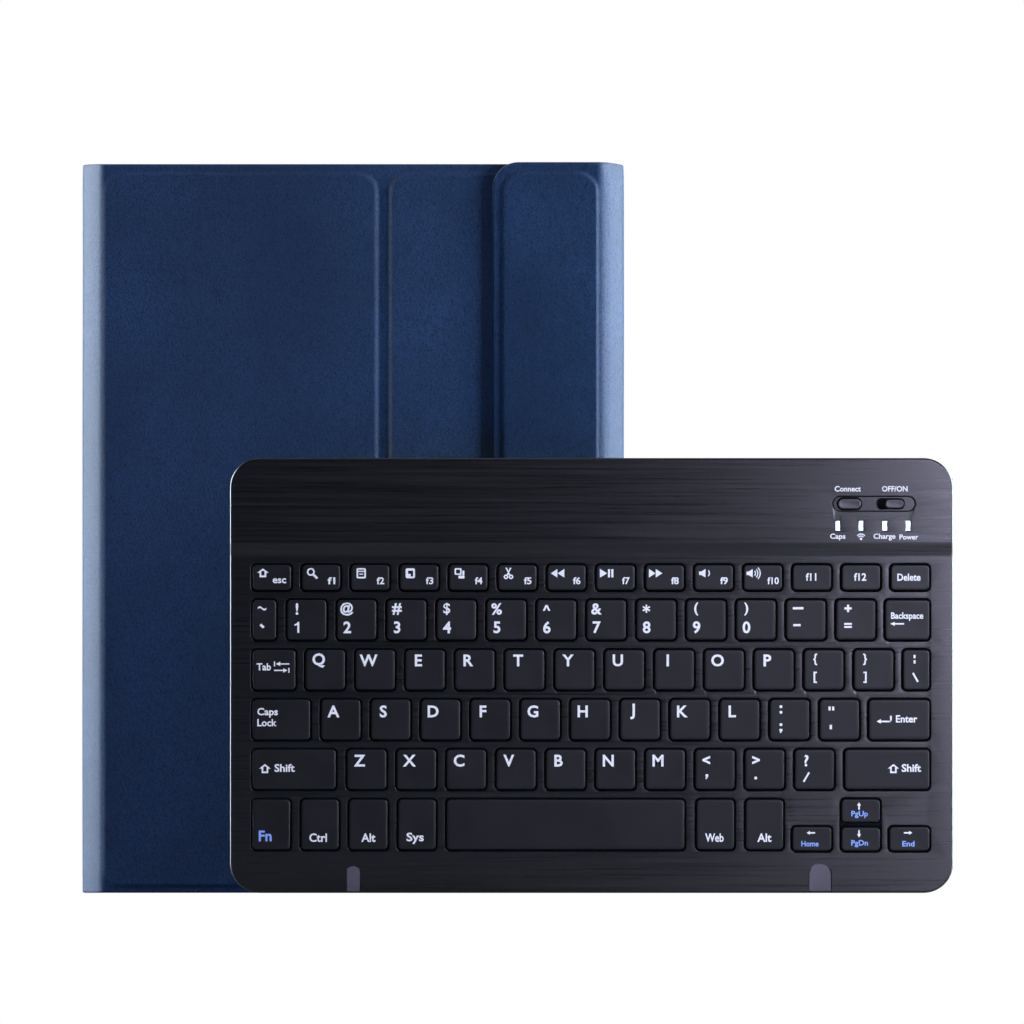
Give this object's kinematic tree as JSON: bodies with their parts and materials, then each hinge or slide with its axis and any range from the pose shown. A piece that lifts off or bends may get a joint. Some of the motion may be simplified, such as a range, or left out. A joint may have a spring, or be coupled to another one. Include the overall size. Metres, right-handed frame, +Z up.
{
  "type": "tablet keyboard case",
  "caption": "Folio case for a tablet with a fold-out stand, a magnetic closing flap and a detachable slim wireless keyboard.",
  "frame": {"origin": "centre of the bounding box's bottom: the table that the closed folio and the keyboard stand on", "axes": "+X to the right and +Y to the back as seen from the keyboard's keys, +Z up; the folio's hinge lines are parallel to Z"},
  "size_m": [0.2976, 0.0798, 0.2509],
  "materials": {
    "leather": "grained PU leather, satin",
    "board": "pressed fibre board",
    "lining": "brushed microfibre",
    "tray": "fine matte texture",
    "case": "horizontally brushed black",
    "keycap": "smooth satin black, white legends",
    "steel": "plated sheet steel",
    "magnet": "nickel-plated magnet",
    "circuit_board": "green solder mask",
    "battery_foil": "laminated foil pouch",
    "membrane": "polyester film",
    "rubber": "matte black",
    "light_guide": "clear diffuse"
  },
  "bodies": {
    "tablet_side": {"tray_panel_leather": "leather", "tray_panel_board": "board", "tray_panel_lining": "lining", "keeper_plate": "steel", "tablet_tray": "tray"},
    "stand_panel": {"stand_panel_leather": "leather", "stand_panel_board": "board", "stand_panel_lining": "lining"},
    "spine": {"spine_leather": "leather", "spine_board": "board"},
    "keyboard_cover": {"keyboard_cover_leather": "leather", "keyboard_cover_board": "board", "keyboard_cover_lining": "lining", "docking_steel_sheet": "steel"},
    "closure_strip": {"closure_strip_leather": "leather", "closure_strip_board": "board"},
    "closure_flap": {"flap_leather": "leather", "flap_board": "board", "flap_lining": "lining", "flap_magnet_lower": "magnet", "flap_magnet_upper": "magnet"},
    "keyboard": {"keyboard_top_case": "case", "keyboard_bottom_case": "case", "membrane_sheet": "membrane", "key_support_plate": "steel", "battery": "battery_foil", "controller_board": "circuit_board", "power_switch_body": "steel", "docking_magnet_left": "magnet", "docking_magnet_right": "magnet", "indicator_light_guide": "light_guide", "charging_socket": "steel", "rubber_foot_upper": "rubber", "rubber_foot_lower": "rubber"},
    "connect_button": {"connect_button": "keycap"},
    "power_switch_knob": {"power_switch_knob": "keycap"},
    "esc_key": {"esc_key": "keycap"},
    "function_row_keys": {"function_row_keys": "keycap"},
    "delete_key": {"delete_key": "keycap"},
    "number_row_keys": {"number_row_keys": "keycap"},
    "backspace_key": {"backspace_key": "keycap"},
    "tab_key": {"tab_key": "keycap"},
    "upper_letter_keys": {"upper_letter_keys": "keycap"},
    "caps_lock_key": {"caps_lock_key": "keycap"},
    "home_letter_keys": {"home_letter_keys": "keycap"},
    "enter_key": {"enter_key": "keycap"},
    "left_shift_key": {"left_shift_key": "keycap"},
    "lower_letter_keys": {"lower_letter_keys": "keycap"},
    "right_shift_key": {"right_shift_key": "keycap"},
    "fn_key": {"fn_key": "keycap"},
    "ctrl_key": {"ctrl_key": "keycap"},
    "left_alt_key": {"left_alt_key": "keycap"},
    "system_key": {"system_key": "keycap"},
    "space_bar": {"space_bar": "keycap"},
    "browser_key": {"browser_key": "keycap"},
    "right_alt_key": {"right_alt_key": "keycap"},
    "arrow_left_key": {"arrow_left_key": "keycap"},
    "arrow_up_key": {"arrow_up_key": "keycap"},
    "arrow_down_key": {"arrow_down_key": "keycap"},
    "arrow_right_key": {"arrow_right_key": "keycap"}
  },
  "joints": [
    {"name": "stand_crease", "type": "hinge", "parent": "tablet_side", "child": "stand_panel", "pos_m": [-0.04535, 0.01875, 0], "axis": [0, 0, 1], "range_deg": [0, 36]},
    {"name": "spine_fold", "type": "hinge", "parent": "stand_panel", "child": "spine", "pos_m": [-0.14645, 0.02115, 0], "axis": [0, 0, 1], "range_deg": [0, 90]},
    {"name": "cover_fold", "type": "hinge", "parent": "spine", "child": "keyboard_cover", "pos_m": [-0.14645, 0.03755, 0], "axis": [0, 0, 1], "range_deg": [0, 90]},
    {"name": "closure_fold", "type": "hinge", "parent": "keyboard_cover", "child": "closure_strip", "pos_m": [0.03485, 0.03755, 0], "axis": [0, 0, 1], "range_deg": [0, 90]},
    {"name": "flap_fold", "type": "hinge", "parent": "closure_strip", "child": "closure_flap", "pos_m": [0.03444, 0.01886, 0], "axis": [0, 0, 1], "range_deg": [0, 135]},
    {"name": "keyboard_lift_off", "type": "slide", "parent": "tablet_side", "child": "keyboard", "axis": [0, -1, 0], "range_m": [0, 0.12]},
    {"name": "connect_press", "type": "slide", "parent": "keyboard", "child": "connect_button", "axis": [0, 1, 0], "range_m": [0, 0.0005], "stiffness_N_per_m": 1200},
    {"name": "power_slide", "type": "slide", "parent": "keyboard", "child": "power_switch_knob", "axis": [1, 0, 0], "range_m": [-0.0025, 0]},
    {"name": "esc_press", "type": "slide", "parent": "keyboard", "child": "esc_key", "axis": [0, 1, 0], "range_m": [0, 0.0014], "stiffness_N_per_m": 450},
    {"name": "function_row_press", "type": "slide", "parent": "keyboard", "child": "function_row_keys", "axis": [0, 1, 0], "range_m": [0, 0.0014], "stiffness_N_per_m": 900},
    {"name": "delete_press", "type": "slide", "parent": "keyboard", "child": "delete_key", "axis": [0, 1, 0], "range_m": [0, 0.0014], "stiffness_N_per_m": 450},
    {"name": "number_row_press", "type": "slide", "parent": "keyboard", "child": "number_row_keys", "axis": [0, 1, 0], "range_m": [0, 0.0014], "stiffness_N_per_m": 900},
    {"name": "backspace_press", "type": "slide", "parent": "keyboard", "child": "backspace_key", "axis": [0, 1, 0], "range_m": [0, 0.0014], "stiffness_N_per_m": 450},
    {"name": "tab_press", "type": "slide", "parent": "keyboard", "child": "tab_key", "axis": [0, 1, 0], "range_m": [0, 0.0014], "stiffness_N_per_m": 450},
    {"name": "upper_letter_press", "type": "slide", "parent": "keyboard", "child": "upper_letter_keys", "axis": [0, 1, 0], "range_m": [0, 0.0014], "stiffness_N_per_m": 900},
    {"name": "caps_lock_press", "type": "slide", "parent": "keyboard", "child": "caps_lock_key", "axis": [0, 1, 0], "range_m": [0, 0.0014], "stiffness_N_per_m": 450},
    {"name": "home_letter_press", "type": "slide", "parent": "keyboard", "child": "home_letter_keys", "axis": [0, 1, 0], "range_m": [0, 0.0014], "stiffness_N_per_m": 900},
    {"name": "enter_press", "type": "slide", "parent": "keyboard", "child": "enter_key", "axis": [0, 1, 0], "range_m": [0, 0.0014], "stiffness_N_per_m": 450},
    {"name": "left_shift_press", "type": "slide", "parent": "keyboard", "child": "left_shift_key", "axis": [0, 1, 0], "range_m": [0, 0.0014], "stiffness_N_per_m": 450},
    {"name": "lower_letter_press", "type": "slide", "parent": "keyboard", "child": "lower_letter_keys", "axis": [0, 1, 0], "range_m": [0, 0.0014], "stiffness_N_per_m": 900},
    {"name": "right_shift_press", "type": "slide", "parent": "keyboard", "child": "right_shift_key", "axis": [0, 1, 0], "range_m": [0, 0.0014], "stiffness_N_per_m": 450},
    {"name": "fn_press", "type": "slide", "parent": "keyboard", "child": "fn_key", "axis": [0, 1, 0], "range_m": [0, 0.0014], "stiffness_N_per_m": 450},
    {"name": "ctrl_press", "type": "slide", "parent": "keyboard", "child": "ctrl_key", "axis": [0, 1, 0], "range_m": [0, 0.0014], "stiffness_N_per_m": 450},
    {"name": "left_alt_press", "type": "slide", "parent": "keyboard", "child": "left_alt_key", "axis": [0, 1, 0], "range_m": [0, 0.0014], "stiffness_N_per_m": 450},
    {"name": "system_press", "type": "slide", "parent": "keyboard", "child": "system_key", "axis": [0, 1, 0], "range_m": [0, 0.0014], "stiffness_N_per_m": 450},
    {"name": "space_bar_press", "type": "slide", "parent": "keyboard", "child": "space_bar", "axis": [0, 1, 0], "range_m": [0, 0.0014], "stiffness_N_per_m": 900},
    {"name": "browser_press", "type": "slide", "parent": "keyboard", "child": "browser_key", "axis": [0, 1, 0], "range_m": [0, 0.0014], "stiffness_N_per_m": 450},
    {"name": "right_alt_press", "type": "slide", "parent": "keyboard", "child": "right_alt_key", "axis": [0, 1, 0], "range_m": [0, 0.0014], "stiffness_N_per_m": 450},
    {"name": "arrow_left_press", "type": "slide", "parent": "keyboard", "child": "arrow_left_key", "axis": [0, 1, 0], "range_m": [0, 0.0014], "stiffness_N_per_m": 450},
    {"name": "arrow_up_press", "type": "slide", "parent": "keyboard", "child": "arrow_up_key", "axis": [0, 1, 0], "range_m": [0, 0.0014], "stiffness_N_per_m": 450},
    {"name": "arrow_down_press", "type": "slide", "parent": "keyboard", "child": "arrow_down_key", "axis": [0, 1, 0], "range_m": [0, 0.0014], "stiffness_N_per_m": 450},
    {"name": "arrow_right_press", "type": "slide", "parent": "keyboard", "child": "arrow_right_key", "axis": [0, 1, 0], "range_m": [0, 0.0014], "stiffness_N_per_m": 450}
  ],
  "couplings": [
    {"joint": "stand_crease", "follows": "spine_fold", "ratio": 0.4},
    {"joint": "cover_fold", "follows": "spine_fold", "ratio": 1}
  ]
}
